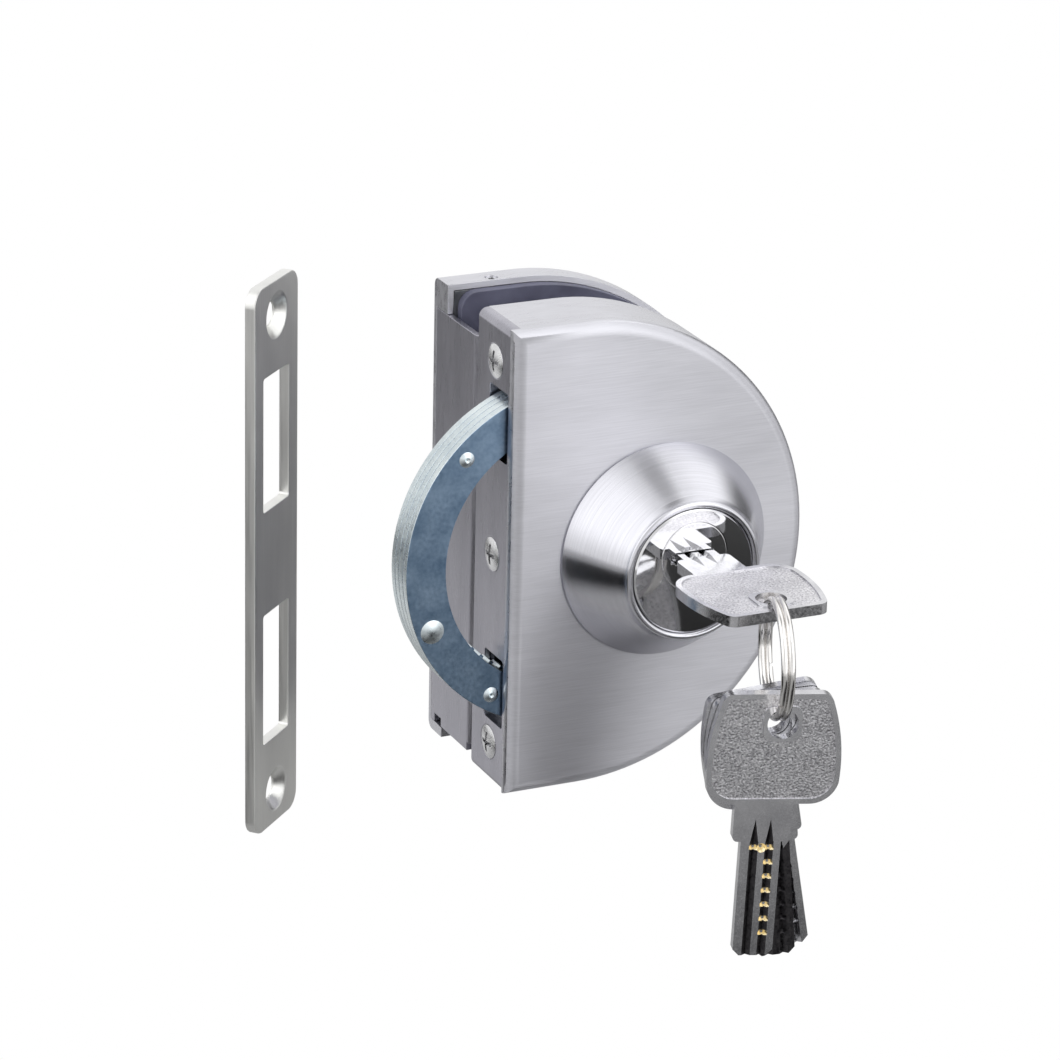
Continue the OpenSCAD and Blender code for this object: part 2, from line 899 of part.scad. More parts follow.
module bolt_plate(i) {
    slab(bolt_y + i * plate_t, bolt_y + (i + 1) * plate_t)
        if (i < 2)
            bolt_shape(bolt_in_r);
        else
            difference() {
                bolt_shape(ring_tip_r);
                translate([bolt_x, 0])
                    polygon(gear_points(bolt_teeth, ring_tip_r - 0.2, ring_pitch_r + 1.25 * gear_m,
                        -tooth_play, idler_dir));
            }
}

module bolt_front_plate() {
    color("slategray")
        bolt_plate(0);
}

module bolt_second_plate() {
    color("lightsteelblue")
        bolt_plate(1);
}

module bolt_third_plate() {
    color("lightsteelblue")
        bolt_plate(2);
}

module bolt_rear_plate() {
    color("lightsteelblue")
        bolt_plate(3);
}

// rivet with a low domed head on the front plate and a flush rear end
module rivet(shank, head) {
    ball = (head * head + dome_h * dome_h) / 2 / dome_h;
    rod(bolt_y - eps, bolt_end_y, shank);
    turned(0, 0)
        intersection() {
            translate([0, bolt_y - dome_h + ball])
                circle(ball);
            translate([0, bolt_y - 2])
                square([head, 2]);
        }
}

module bolt_rivets() {
    color("silver") {
        translate([bolt_x - rivet_r * cos(rivet_big_at), 0, rivet_r * sin(rivet_big_at)])
            rivet(rivet_big_shank, rivet_big_r);
        for (a = rivet_small_at)
            translate([bolt_x - rivet_r * cos(a), 0, rivet_r * sin(a)])
                difference() {
                    rivet(rivet_small_shank, rivet_small_r);
                    translate([0, bolt_y - dome_h - eps, 0])
                        rotate([-90, 0, 0])
                            cylinder(r1 = 0.7, r2 = 0.2, h = 0.4, $fn = 32);
                }
    }
}

// web and front flange of the edge channel, with a rounded bend between them
module bent_sheet() {
    bend = [face_x + channel_bend, case_y + channel_bend];
    translate([face_x, bend.y])
        square([channel_t, channel_y1 - bend.y]);
    translate([bend.x, case_y])
        square([channel_flange - channel_bend, channel_t]);
    intersection() {
        difference() {
            translate(bend)
                circle(channel_bend, $fn = 64);
            translate(bend)
                circle(channel_bend - channel_t, $fn = 64);
        }
        translate([face_x - 1, case_y - 1])
            square(channel_bend + 1 + eps);
    }
}

module edge_channel() {
    color("gray")
        difference() {
            translate([0, 0, -channel_low])
                linear_extrude(channel_low + channel_high)
                    bent_sheet();
            for (y = [case_y - 1, gap_y + 0.5])
                translate([face_x - 1, y, -channel_low - 1])
                    cube([channel_t + 2, 3.5, 3]);
            for (z = clamp_z)
                translate([clamp_x, 0, z])
                    rod(case_y - 1, 0, clamp_screw_r + 0.1);
            for (z = channel_screw_z)
                translate([channel_screw_x, 0, z]) {
                    rod(case_y - 1, 0, channel_screw_r + 0.1);
                    translate([0, case_y + channel_t + eps, 0])
                        rotate([90, 0, 0])
                            cylinder(r1 = 2.45, r2 = 1.25, h = 1.2, $fn = 48);
                }
        }
}

module channel_screws() {
    color("silver")
        for (z = channel_screw_z)
            translate([channel_screw_x, 0, z])
                flat_screw(floor_end_y + 0.2, case_y + channel_t, channel_screw_r, 2.4);
}

module gasket_shape(left, corner) {
    r = arc_r - cover_t;
    difference() {
        d_shape(cover_t, left);
        for (s = [-1, 1])
            translate([left, s * r])
                difference() {
                    square(2 * corner, center = true);
                    translate([corner, -s * corner])
                        circle(corner, $fn = 48);
                    translate([0, -s * corner * 2])
                        square([4 * corner, 2 * corner], center = true);
                    translate([corner * 2, 0])
                        square([2 * corner, 4 * corner], center = true);
                }
    }
}

module front_gasket() {
    color("darkslategray")
        slab(case_y, case_y + gasket_t)
            gasket_shape(face_x + channel_flange + 1.2, gasket_corner);
}

module back_gasket() {
    color("darkslategray")
        slab(gap_y - gasket_t, gap_y)
            difference() {
                gasket_shape(face_x + channel_t + 0.9, gasket_corner);
                for (z = clamp_z)
                    disc(clamp_x, z, clamp_screw_r + 0.3);
            }
}

module clamp_plate() {
    color("gray")
        difference() {
            slab(gap_y, gap_y + clamp_plate_t)
                d_shape(frame_inset, face_x + channel_t + set_gap);
            for (z = clamp_z)
                translate([clamp_x, 0, z]) {
                    rod(gap_y - 1, gap_y + 10, clamp_screw_r + 0.15);
                    translate([0, gap_y + clamp_plate_t + eps, 0])
                        rotate([90, 0, 0])
                            cylinder(r1 = clamp_head_r + 0.1, r2 = clamp_screw_r + 0.1,
                                h = clamp_head_r - clamp_screw_r, $fn = 48);
                }
            for (s = [0, 180])
                translate([grub_x, grub_y, 0])
                    rotate([s, 0, 0])
                        translate([0, 0, arc_r - grub_l - 0.6])
                            cylinder(r = grub_r, h = 10, $fn = 32);
        }
}

module clamp_screws() {
    color("silver")
        for (z = clamp_z)
            translate([clamp_x, 0, z])
                difference() {
                    flat_screw(floor_end_y + 0.2, gap_y + clamp_plate_t, clamp_screw_r, clamp_head_r);
                    slab(gap_y + 1.6, back_y)
                        circle(1.8, $fn = 6);
                }
}

module back_cover() {
    color("silver")
        difference() {
            mirror([0, 1, 0])
                d_block(0, face_x, -back_y, -gap_y, back_edge_r);
            mirror([0, 1, 0])
                d_block(cover_t, face_x + cover_t, -back_y + cover_t, -gap_y + 1, 0.5);
            translate([face_x - 1, gap_y - 1, -channel_low - set_gap])
                cube([cover_t + 1 + set_gap, channel_y1 - gap_y + 1, channel_low + channel_high + 2 * set_gap]);
            for (s = [0, 180])
                translate([grub_x, grub_y, 0])
                    rotate([s, 0, 0])
                        translate([0, 0, arc_r - grub_l - 0.6])
                            cylinder(r = grub_r, h = 10, $fn = 32);
        }
}

module grub_screws() {
    color("dimgray")
        for (s = [0, 180])
            translate([grub_x, grub_y, 0])
                rotate([s, 0, 0])
                    difference() {
                        translate([0, 0, arc_r - grub_l - 0.4])
                            cylinder(r = grub_r, h = grub_l, $fn = 32);
                        translate([0, 0, arc_r - 1.6])
                            cylinder(r = 0.85, h = 4, $fn = 6);
                    }
}

module strike_plate() {
    color("darkgray")
        translate([strike_x, strike_y, 0])
            rotate([0, 0, strike_turn])
                difference() {
                    slab(0, strike_t)
                        difference() {
                            round_rect(strike_w, strike_h, strike_corner_r);
                            for (s = [-1, 1])
                                translate([0, s * strike_slot_pitch / 2])
                                    round_rect(strike_slot_w, strike_slot_h, 0.6);
                            for (s = [-1, 1])
                                translate([0, s * strike_pitch / 2])
                                    circle(strike_hole_r, $fn = 48);
                        }
                    for (s = [-1, 1])
                        translate([0, -eps, s * strike_pitch / 2])
                            rotate([-90, 0, 0])
                                cylinder(r1 = strike_head_r, r2 = strike_hole_r,
                                    h = strike_sink, $fn = 48);
                }
}

// bow outline that narrows in two arcs toward its far end, set in by a margin
module bow_shape(inset) {
    side = bow_side_r - inset;
    far_r = bow_far_r - inset / 2;
    far_y = inset - hole_end;
    side_x = bow_side_r - bow_w / 2;
    // where the far corner's round meets the side's arc
    corner_y = far_y + far_r;
    corner_x = sqrt(pow(side - far_r, 2) - pow(bow_wide_y - corner_y, 2)) - side_x;
    meet_y = bow_wide_y - (bow_wide_y - corner_y) * side / (side - far_r);
    near_y = bow_near - inset;
    translate([bow_off - key_hole_off, 0]) {
        intersection() {
            translate([0, near_y - bow_l / 2])
                round_rect(bow_w - 2 * inset, bow_l, bow_near_r - inset);
            translate([-side_x, bow_wide_y])
                circle(side);
            translate([side_x, bow_wide_y])
                circle(side);
            translate([-bow_w, meet_y])
                square([2 * bow_w, bow_l]);
        }
        translate([-corner_x, far_y])
            square([2 * corner_x, meet_y - far_y + eps]);
        for (s = [-1, 1])
            translate([s * corner_x, corner_y + corner_proud])
                circle(far_r + corner_proud, $fn = 48);
    }
}

// whole outline, with the shank's rounded shoulders and the chamfered tip
module key_shape() {
    shoulder_r = 1.2;
    bow_shape(0);
    translate([-key_hole_off, blade_start - (shank_l + bow_near_r) / 2])
        round_rect(shank_w, shank_l + bow_near_r, shoulder_r);
    translate([-key_hole_off, 0])
        polygon([[-blade_w / 2, bow_near], [blade_w / 2, bow_near],
            [blade_w / 2, blade_end - tip_chamfer], [blade_w / 2 - tip_chamfer, blade_end],
            [tip_chamfer - blade_w / 2, blade_end], [-blade_w / 2, blade_end - tip_chamfer]]);
}

module vee(w) {
    polygon([[0, 0], [w, -2 * groove_sink], [-w, -2 * groove_sink]]);
}

// V groove down the blade, with a runout that rises through the shank
module blade_groove() {
    translate([0, blade_start, key_t / 2 - groove_sink]) {
        rotate([-90, 0, 0])
            linear_extrude(blade_end)
                vee(groove_w);
        rotate([90 - runout_slope, 0, 0])
            linear_extrude(3 * groove_sink / sin(runout_slope))
                mirror([0, 1])
                    vee(0.94 * groove_w);
    }
}

module dimple() {
    translate([0, 0, key_t / 2 - dimple_sink])
        cylinder(r1 = 0.3, r2 = dimple_r, h = dimple_sink + eps, $fn = 24);
}

// key drawn flat, thickness about z = 0
module key_body() {
    difference() {
        translate([0, 0, -key_t / 2])
            linear_extrude(key_t)
                difference() {
                    key_shape();
                    circle(key_hole_r);
                }
        for (s = [0, 1])
            mirror([0, 0, s])
                translate([0, 0, key_t / 2 - field_sink])
                    linear_extrude(1)
                        difference() {
                            bow_shape(rim_w);
                            round_rect(boss_w, boss_l, 2);
                        }
        translate([-key_hole_off, 0, 0])
            for (turn = [0, 180])
                rotate([0, turn, 0]) {
                    for (x = groove_at)
                        translate([x, 0, 0])
                            blade_groove();
                    for (i = [0:dimple_rows - 1])
                        translate([groove_at[0], blade_start + dimple_first + dimple_pitch * i, 0])
                            dimple();
                    for (x = [groove_at[0], (groove_at[0] + groove_at[1]) / 2, groove_at[1]])
                        translate([x, blade_start + crown_first, 0])
                            dimple();
                }
    }
}

module key_main() {
    color("silver")
        translate([key_hole_x, key_hole_y, key_z])
            key_body();
}

// a key that hangs on the split ring: 0 in front, 1 in the middle, 2 behind
module hung_key(i) {
    translate([ring_x, ring_y, hung_z(i)])
        rotate([0, 0, -split_yaw])
            translate([hung_aside[i], (i - 1) * key_gap, 0])
                rotate([0, hung_tilt[i], 0])
                    rotate([-90, 0, 0])
                        key_body();
}

module key_front() {
    color("silver")
        hung_key(0);
}

module key_middle() {
    color("gray")
        hung_key(1);
}

module key_rear() {
    color("silver")
        hung_key(2);
}

module split_ring() {
    color("silver")
        translate([ring_x, ring_y, ring_z])
            rotate([0, 0, -split_yaw])
                for (s = [-1, 1])
                    difference() {
                        translate([s * coil_off, 0, 0])
                            rotate([0, 90, 0])
                                rotate_extrude()
                                    translate([split_r, 0])
                                        circle(wire_r, $fn = 32);
                        rotate([s * 62, 0, 0])
                            translate([s * (coil_off + 1) - 1, -0.5, -split_r - 2])
                                cube([2, 0.8, 4]);
                    }
}

front_cover();
faceplate();
faceplate_screws();
track_plate();
lock_frame();
back_plate();
case_screws();
rosette();
cylinder_body();
cylinder_screws();
driver_pins();
pin_springs();
spring_cap();
plug();
key_pins();
drive_gear();
plug_clip();
idler_post();
idler_gear();
bolt_front_plate();
bolt_second_plate();
bolt_third_plate();
bolt_rear_plate();
bolt_rivets();
edge_channel();
channel_screws();
front_gasket();
back_gasket();
clamp_plate();
clamp_screws();
back_cover();
grub_screws();
strike_plate();
key_main();
split_ring();
key_front();
key_middle();
key_rear();
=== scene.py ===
"""Looks of the clamp-on glass door lock, and the view of its photograph.

A piece that shows is a copy of its CAD solid with softened edges and smooth curves,
and it stands for its node. Two are made here: the rosette, spun from its profile,
and a thin lip along the front cover's edge. The pieces inside the case keep their
solids and get a better material.
"""

import json
import math

import bmesh
import bpy
from mathutils import Matrix, Vector


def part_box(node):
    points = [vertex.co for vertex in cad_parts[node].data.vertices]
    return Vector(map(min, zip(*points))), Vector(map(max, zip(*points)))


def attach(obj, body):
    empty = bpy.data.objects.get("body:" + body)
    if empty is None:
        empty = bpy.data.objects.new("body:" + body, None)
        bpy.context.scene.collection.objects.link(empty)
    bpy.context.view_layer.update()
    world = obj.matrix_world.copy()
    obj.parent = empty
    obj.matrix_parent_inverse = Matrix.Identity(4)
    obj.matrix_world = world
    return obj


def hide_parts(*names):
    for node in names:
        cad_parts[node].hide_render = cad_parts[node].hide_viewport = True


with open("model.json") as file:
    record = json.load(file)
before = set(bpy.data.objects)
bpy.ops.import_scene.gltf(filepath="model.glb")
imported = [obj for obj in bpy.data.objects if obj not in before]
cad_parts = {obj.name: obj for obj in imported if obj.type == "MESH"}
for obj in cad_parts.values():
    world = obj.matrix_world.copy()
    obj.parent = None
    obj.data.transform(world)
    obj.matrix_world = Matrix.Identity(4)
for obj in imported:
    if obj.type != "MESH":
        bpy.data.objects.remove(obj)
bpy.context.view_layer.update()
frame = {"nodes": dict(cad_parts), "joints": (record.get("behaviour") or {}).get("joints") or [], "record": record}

MM = 0.001
NODES = frame["nodes"]
JOINTS = {joint["name"]: joint for joint in frame["joints"]}
BODY_OF = {
    node: body
    for body, members in frame["record"]["behaviour"]["bodies"].items()
    for node in members
}

# Camera: found from the photograph's lines and circles
IMAGE_PX = 1060
SENSOR_MM = 36
CAMERA_TURN = math.radians(24.99)
CAMERA_RISE = math.radians(20.72)
CAMERA_ROLL = math.radians(1.27)
CAMERA_AWAY = 1049.03 * MM
CAMERA_FOCAL_PX = 4747.62
CAMERA_AIM = Vector((-7.66, -28.5, 8.87)) * MM
CLIP_NEAR = 10 * MM
CLIP_FAR = 20

# Light: a white tent round the object, as bright as white paper, with round cards in it.
# Each card fades out to its rim. A scrim takes a share of the white behind it away, and a
# soft box adds its brightness to it. Cards in the air: direction, half-width and soft
# border in degrees, share or brightness.
SCRIM_AWAY = 2.2
BOX_AWAY = 1.9
CARD_SIDES = 64
AIR_SCRIMS = (
    ((0.03, 0.06, 1), 11, 7, 0.7),
    ((0.86, 0.5, 0.09), 20, 12, 0.9),
    ((-0.51, -0.61, 0.61), 25, 15, 0.18),
    ((-0.42, 0.89, 0.21), 22, 12, 0.25),
)
AIR_BOXES = (
    ((-0.8, 0, 0.6), 30, 12, 0.54),
    ((0.69, 0.29, 0.66), 22, 12, 0.4),
    ((0.35, -0.61, 0.71), 25, 15, 0.85),
    ((0.45, -0.88, 0.12), 20, 12, 0.7),
)
# The floor's height and half-width, and the cards that lie on it: place, full and faded
# radius in metres, share or brightness
FLOOR_Z = -250 * MM
FLOOR_HALF = 4
FLOOR_SCRIMS = (
    (0, 0, 1.2, 2.2, 0.6),
    (0.26, -0.53, 0.17, 0.27, 0.95),
    (-0.66, 0.05, 0.22, 0.45, 0.98),
    (-0.36, 0.85, 0.1, 0.45, 0.6),
    (0.52, 0.2, 0.05, 0.34, 0.3),
    (0.9, 0.36, 0.1, 0.5, 0.4),
    (0.05, -0.3, 0.05, 0.3, 0.95),
)
FLOOR_BOXES = (
    (0.6, -1.3, 0.2, 0.9, 0.23),
    (-0.2, 0.45, 0.05, 0.32, 0.32),
)

# Sizes of the object that the looks follow
FRONT_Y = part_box("front_cover")[0].y
HEAD_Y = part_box("cylinder_body")[0].y
STRIP_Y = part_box("faceplate")[0].y
STRIP_BRIDGE = 2 * MM
COVER_WALL = 1.5 * MM
BOLT_AXIS = Vector(JOINTS["bolt_swing"]["pos_m"])
BOLT_RIM_FROM = 40 * MM
KEY_THICK = 2.5 * MM
KEY_HOLE_IN = 7 * MM
# Along a key, from its hole's centre
BOW_END = 18.8 * MM
SHANK_END = 29 * MM
# Below a key's sides
FIELD_SUNK = (0.1 * MM, 0.5 * MM)
DIMPLE_SUNK = 0.05 * MM

# How squarely a face looks along an axis, from 0, edge on, to 1, square to it: a flat
# side, the end of the cover's round edge, and the slopes of dimples and tracks
FLAT = 0.9
COVER_ROUND_ENDS = 0.35
DIMPLE_SLOPE = (0.5, 0.72)
TRACK_SLOPE = (0.72, 0.9)

# A key's finishes, in the order of its material slots. The last is dark nickel of painted shade.
KEY_RIM, KEY_FIELD, KEY_DIMPLE, KEY_PAINTED_SHADE = range(4)

# Anisotropic rotation that spreads reflections across the brushed lines
ACROSS_LINES = 0.25

# A CAD copy's corners closer than this are one, and faces within this angle are one
MERGE_WITHIN = 0.0005 * MM
FLAT_WITHIN = math.radians(0.3)


def place_camera():
    """The photograph's own view, from the fitted angles and distance."""
    sin_t, cos_t = math.sin(CAMERA_TURN), math.cos(CAMERA_TURN)
    sin_r, cos_r = math.sin(CAMERA_RISE), math.cos(CAMERA_RISE)
    back = Vector((-sin_t * cos_r, -cos_t * cos_r, sin_r))
    right = Vector((cos_t, -sin_t, 0))
    up = Vector((sin_t * sin_r, cos_t * sin_r, cos_r))
    sin_o, cos_o = math.sin(CAMERA_ROLL), math.cos(CAMERA_ROLL)
    rolled_right = right * cos_o + up * sin_o
    rolled_up = up * cos_o - right * sin_o
    data = bpy.data.cameras.new("photo_camera")
    data.sensor_fit = "HORIZONTAL"
    data.sensor_width = SENSOR_MM
    data.lens = CAMERA_FOCAL_PX * SENSOR_MM / IMAGE_PX
    data.clip_start = CLIP_NEAR
    data.clip_end = CLIP_FAR
    camera = bpy.data.objects.new("photo_camera", data)
    turn = Matrix((rolled_right, rolled_up, back)).transposed().to_4x4()
    camera.matrix_world = Matrix.Translation(CAMERA_AIM + back * CAMERA_AWAY) @ turn
    bpy.context.scene.collection.objects.link(camera)
    bpy.context.scene.camera = camera


# Materials


def colour(code):
    """Linear colour of an sRGB hex code."""
    parts = [int(code[i : i + 2], 16) / 255 for i in (1, 3, 5)]
    linear = [p / 12.92 if p <= 0.04045 else ((p + 0.055) / 1.055) ** 2.4 for p in parts]
    return (*linear, 1.0)


def add(tree, kind, sockets=(), **settings):
    """Adds a node, sets its settings, and fills or links its sockets."""
    node = tree.nodes.new(kind)
    for key, value in settings.items():
        setattr(node, key, value)
    for key, value in dict(sockets).items():
        if isinstance(value, bpy.types.NodeSocket):
            tree.links.new(value, node.inputs[key])
        else:
            node.inputs[key].default_value = value
    return node


def new_material(name):
    """A material of the given name, and its empty node tree."""
    material = bpy.data.materials.new(name)
    material.use_nodes = True
    material.node_tree.nodes.clear()
    return material, material.node_tree


def output(tree, shader):
    """Makes the shader the material's surface."""
    add(tree, "ShaderNodeOutputMaterial", {"Surface": shader.outputs[0]})


def ramp(tree, factor, low, high, low_at=0.3, high_at=0.7):
    """A value or colour that runs from low to high over the factor."""
    node = add(tree, "ShaderNodeValToRGB", {"Fac": factor})
    points = node.color_ramp.elements
    points[0].position, points[1].position = low_at, high_at
    points[0].color = low if isinstance(low, tuple) else (low, low, low, 1)
    points[1].color = high if isinstance(high, tuple) else (high, high, high, 1)
    return node.outputs["Color"]


def streaks(tree, size, detail=3.0):
    """Noise whose cells have the given size in millimetres along X, Y and Z."""
    where = add(tree, "ShaderNodeTexCoord").outputs["Object"]
    scale = tuple(1 / (s * MM) for s in size)
    placed = add(tree, "ShaderNodeMapping", {"Vector": where, "Scale": scale})
    noise = add(
        tree,
        "ShaderNodeTexNoise",
        {"Vector": placed.outputs["Vector"], "Scale": 1.0, "Detail": detail},
    )
    return noise.outputs["Fac"]


def metal(
    name, dark, light, rough, grain, patch, depth_mm,
    smooth=0.0, share=0.35, soft=0.2, brush=0.0,
):
    """Metal whose finish is a grain of the given size, over broad patches of tone.
    smooth is how far its roughness changes with the grain, share the grain's part in
    the tone, and soft the half-width of the tone's ramp. A brush above 0 spreads
    reflections across the lines that the brushing map follows."""
    material, tree = new_material(name)
    lines = streaks(tree, grain)
    broad = streaks(tree, patch, 2.0)
    tone = add(tree, "ShaderNodeMix", {"Factor": share, "A": broad, "B": lines})
    hue = ramp(
        tree, tone.outputs["Result"], colour(dark), colour(light), 0.5 - soft, 0.5 + soft
    )
    height = add(
        tree,
        "ShaderNodeBump",
        {"Height": lines, "Distance": depth_mm * MM, "Strength": 1.0},
    )
    surface = add(
        tree,
        "ShaderNodeBsdfPrincipled",
        {
            "Base Color": hue,
            "Metallic": 1.0,
            "Roughness": ramp(tree, lines, rough - smooth, rough + smooth),
            "Normal": height.outputs["Normal"],
            "Anisotropic": brush,
            "Anisotropic Rotation": ACROSS_LINES,
        },
    )
    if brush:
        along = add(tree, "ShaderNodeTangent", direction_type="UV_MAP", uv_map="brushing")
        tree.links.new(along.outputs["Tangent"], surface.inputs["Tangent"])
    output(tree, surface)
    return material


def brushed_steel():
    """Stainless sheet, belt-brushed along X: light from above and below is drawn into
    a level sheen, and what stands proud shades it. The real grain of 0.05 mm is drawn
    0.25 mm wide so that it shows."""
    return metal(
        "brushed_stainless_steel", "#C6C6CC", "#DCDCE2", rough=0.45, brush=0.85,
        grain=(9, 1.2, 0.25), patch=(40, 30, 14), depth_mm=0.004, smooth=0.05, share=0.5,
    )


def satin_steel():
    """The same sheet round its bent walls, where the belt ran along the edge."""
    return metal(
        "satin_stainless_steel", "#C6C6CC", "#DCDCE2", rough=0.3,
        grain=(6, 1.2, 3), patch=(40, 30, 14), depth_mm=0.004, smooth=0.05, share=0.5,
    )


def turned_steel():
    """Stainless cone, polished on a lathe: its grain runs round it, so that light
    draws it into bands from the rim to the lip."""
    material, tree = new_material("turned_stainless_steel")
    uv = add(tree, "ShaderNodeUVMap", uv_map="turning").outputs["UV"]
    # The map is one turn wide and counts millimetres along the slope. The lathe's marks
    # of 0.05 mm are drawn 0.25 mm wide and a sixth of a turn long, so that they show.
    placed = add(tree, "ShaderNodeMapping", {"Vector": uv, "Scale": (6, 4, 1)})
    noise = add(
        tree,
        "ShaderNodeTexNoise",
        {"Vector": placed.outputs["Vector"], "Scale": 1.0, "Detail": 3.0},
    )
    lines = noise.outputs["Fac"]
    height = add(
        tree,
        "ShaderNodeBump",
        {"Height": lines, "Distance": 0.0012 * MM, "Strength": 1.0},
    )
    along = add(tree, "ShaderNodeTangent", direction_type="UV_MAP", uv_map="turning")
    surface = add(
        tree,
        "ShaderNodeBsdfPrincipled",
        {
            "Base Color": ramp(tree, lines, colour("#CCCCD2"), colour("#DADAE0")),
            "Metallic": 1.0,
            "Roughness": 0.2,
            "Anisotropic": 0.8,
            "Anisotropic Rotation": ACROSS_LINES,
            "Tangent": along.outputs["Tangent"],
            "Normal": height.outputs["Normal"],
        },
    )
    output(tree, surface)
    return material


def satin_face_steel():
    """Stainless strip, ground upright: darker and quieter than the covers."""
    return metal(
        "ground_stainless_strip", "#A6A5AE", "#BDBCC5", rough=0.3,
        grain=(0.5, 0.3, 9), patch=(8, 8, 40), depth_mm=0.003, smooth=0.04,
    )


def plated_frame_steel():
    """Pressed steel inside the case, dull zinc."""
    return metal(
        "dull_zinc_plated_steel", "#77797B", "#94979A", rough=0.45,
        grain=(1.5, 1.5, 1.5), patch=(14, 14, 14), depth_mm=0.01, smooth=0.08,
    )


def polished_chrome():
    """Chrome over turned brass: a mirror with the faintest haze."""
    return metal(
        "polished_chrome", "#D8D8DA", "#E2E2E4", rough=0.05,
        grain=(2, 2, 2), patch=(9, 9, 9), depth_mm=0.0006, smooth=0.01,
    )


def bright_screw_steel():
    """Screw steel, barrel-polished: bright, with soft handling marks."""
    return metal(
        "barrel_polished_steel", "#E2E2E4", "#F4F4F5", rough=0.24,
        grain=(0.5, 0.5, 0.5), patch=(3, 3, 3), depth_mm=0.004, smooth=0.08,
    )


def blue_zinc():
    """Stamped plate with blue passivated zinc: a cold slate sheen in soft clouds."""
    return metal(
        "blue_passivated_zinc", "#6C86A2", "#9BB3CC", rough=0.4,
        grain=(0.9, 0.9, 0.9), patch=(7, 7, 5), depth_mm=0.003, smooth=0.05,
    )


def bright_zinc():
    """Edges of the stamped plates, zinc over the sheared steel."""
    return metal(
        "bright_zinc_plate", "#D6E2E8", "#F2FAFB", rough=0.3,
        grain=(0.9, 1.2, 0.9), patch=(6, 6, 6), depth_mm=0.002, smooth=0.08,
    )


def machined_gear_steel():
    """Sintered gear with a machined face."""
    return metal(
        "sintered_gear_steel", "#77736A", "#908B80", rough=0.42,
        grain=(0.4, 0.4, 0.4), patch=(4, 4, 4), depth_mm=0.01, smooth=0.05,
    )


def pin_brass():
    """Turned brass of the pins and of the dimples cut through a key's plating."""
    return metal(
        "cut_brass", "#EBD7A4", "#FCF1D4", rough=0.24,
        grain=(0.3, 0.3, 0.3), patch=(1.5, 1.5, 1.5), depth_mm=0.006, smooth=0.06,
    )


def strike_steel():
    """Nickel-plated strike, brushed lengthwise: a grey satin with a warm edge."""
    return metal(
        "satin_nickel_strike", "#DEDEDC", "#F2F2EF", rough=0.36,
        grain=(0.35, 0.35, 16), patch=(9, 9, 30), depth_mm=0.003, smooth=0.05,
    )


def key_rim_nickel():
    """Nickel on the rim, shank and blade of a key, tumbled smooth."""
    return metal(
        "tumbled_nickel", "#C6C6CA", "#E2E2E5", rough=0.2,
        grain=(0.6, 0.6, 0.6), patch=(4, 4, 4), depth_mm=0.006, smooth=0.07,
    )


def key_field_nickel():
    """Nickel over the coined grain of a bow's field: it sparkles like fine sand.
    The grain of 0.2 mm is drawn 0.45 mm wide so that it shows."""
    return metal(
        "coined_nickel_field", "#ADACB1", "#F6F5F8", rough=0.34,
        grain=(0.45, 0.45, 0.45), patch=(6, 6, 6), depth_mm=0.1, smooth=0.1,
        share=0.8, soft=0.14,
    )


def painted_shade_nickel():
    """Nickel of milled tracks and of a whole blade, painted dark as painted shade for the dark they reflect."""
    return metal(
        "nickel_with_painted_shade", "#3A393C", "#5E5C5E", rough=0.34,
        grain=(0.5, 0.5, 0.5), patch=(2, 2, 2), depth_mm=0.02, smooth=0.08, share=0.6,
    )


def ring_wire_steel():
    """Polished spring wire of the split ring."""
    return metal(
        "polished_spring_wire", "#DEDCDA", "#EEECEA", rough=0.14,
        grain=(0.5, 0.5, 0.5), patch=(5, 5, 5), depth_mm=0.003, smooth=0.04,
    )


def gasket_rubber():
    """Moulded slate-coloured rubber with a dry sheen and fine mould marks."""
    material, tree = new_material("moulded_slate_rubber")
    clouds = streaks(tree, (9, 9, 9), 3.0)
    pores = streaks(tree, (0.5, 0.5, 0.5), 2.0)
    height = add(
        tree, "ShaderNodeBump", {"Height": pores, "Distance": 0.03 * MM, "Strength": 0.6}
    )
    surface = add(
        tree,
        "ShaderNodeBsdfPrincipled",
        {
            "Base Color": ramp(tree, clouds, colour("#505163"), colour("#6A6B80")),
            "Roughness": ramp(tree, clouds, 0.42, 0.58),
            "Normal": height.outputs["Normal"],
        },
    )
    output(tree, surface)
    return material


# Pieces


def finished_mesh(bm, name):
    """The mesh that a bmesh has become."""
    mesh = bpy.data.meshes.new(name)
    bm.to_mesh(mesh)
    bm.free()
    return mesh


def add_object(name, mesh):
    """An object at the origin with the given mesh."""
    made = bpy.data.objects.new(name, mesh)
    bpy.context.scene.collection.objects.link(made)
    return made


def place_piece(name, mesh, node):
    """A piece that moves with a CAD node's body."""
    piece = add_object(name, mesh)
    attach(piece, BODY_OF[node])
    return piece


def weighted_normals(bm, crease):
    """Corner normals in which large faces outweigh small ones, split at sharp edges.
    Flat faces stay flat beside a rounded edge, and curved ones run on smoothly."""
    normals = {}
    for vert in bm.verts:
        waiting = list(vert.link_faces)
        while waiting:
            group = [waiting.pop(0)]
            for face in group:
                for edge in face.edges:
                    if vert not in edge.verts or len(edge.link_faces) != 2:
                        continue
                    if edge.calc_face_angle(math.pi) > crease:
                        continue
                    for other in edge.link_faces:
                        if other in waiting:
                            waiting.remove(other)
                            group.append(other)
            normal = sum((f.normal * f.calc_area() for f in group), Vector())
            for face in group:
                normals[face.index, vert.index] = normal.normalized() or face.normal
    return [
        normals[face.index, loop.vert.index] for face in bm.faces for loop in face.loops
    ]


